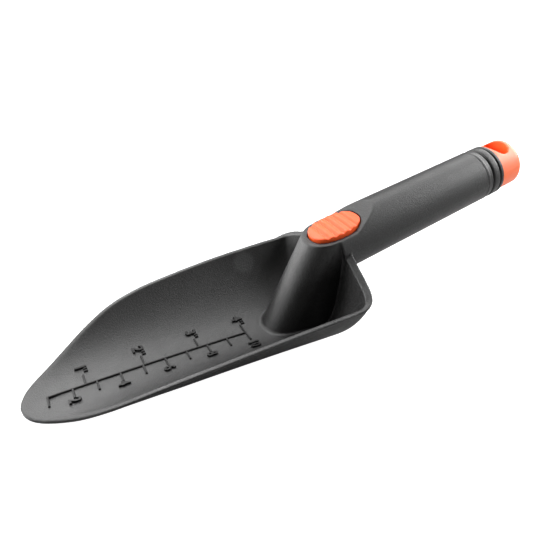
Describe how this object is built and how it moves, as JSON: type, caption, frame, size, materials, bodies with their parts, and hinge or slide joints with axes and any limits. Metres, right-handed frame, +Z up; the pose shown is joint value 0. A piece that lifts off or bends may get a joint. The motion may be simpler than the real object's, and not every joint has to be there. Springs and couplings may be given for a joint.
{
  "type": "hand trowel",
  "caption": "Plastic hand trowel: a deep pointed scoop with a depth scale, a leaning hollow neck with an oval thumb rest, and a round grip with a hang-slot end cap.",
  "frame": {"origin": "under the middle of the whole tool, on the surface that the scoop lies on", "axes": "+X from the blade's tip towards the end cap, +Y across the blade, +Z up out of the scoop"},
  "size_m": [0.2588, 0.0776, 0.0743],
  "materials": {
    "body_plastic": "dark grey, fine satin mould texture",
    "rest_plastic": "orange, soft satin",
    "cap_plastic": "orange, satin"
  },
  "bodies": {
    "root": {"trowel_body": "body_plastic", "thumb_rest": "rest_plastic", "end_cap": "cap_plastic"}
  },
  "joints": []
}
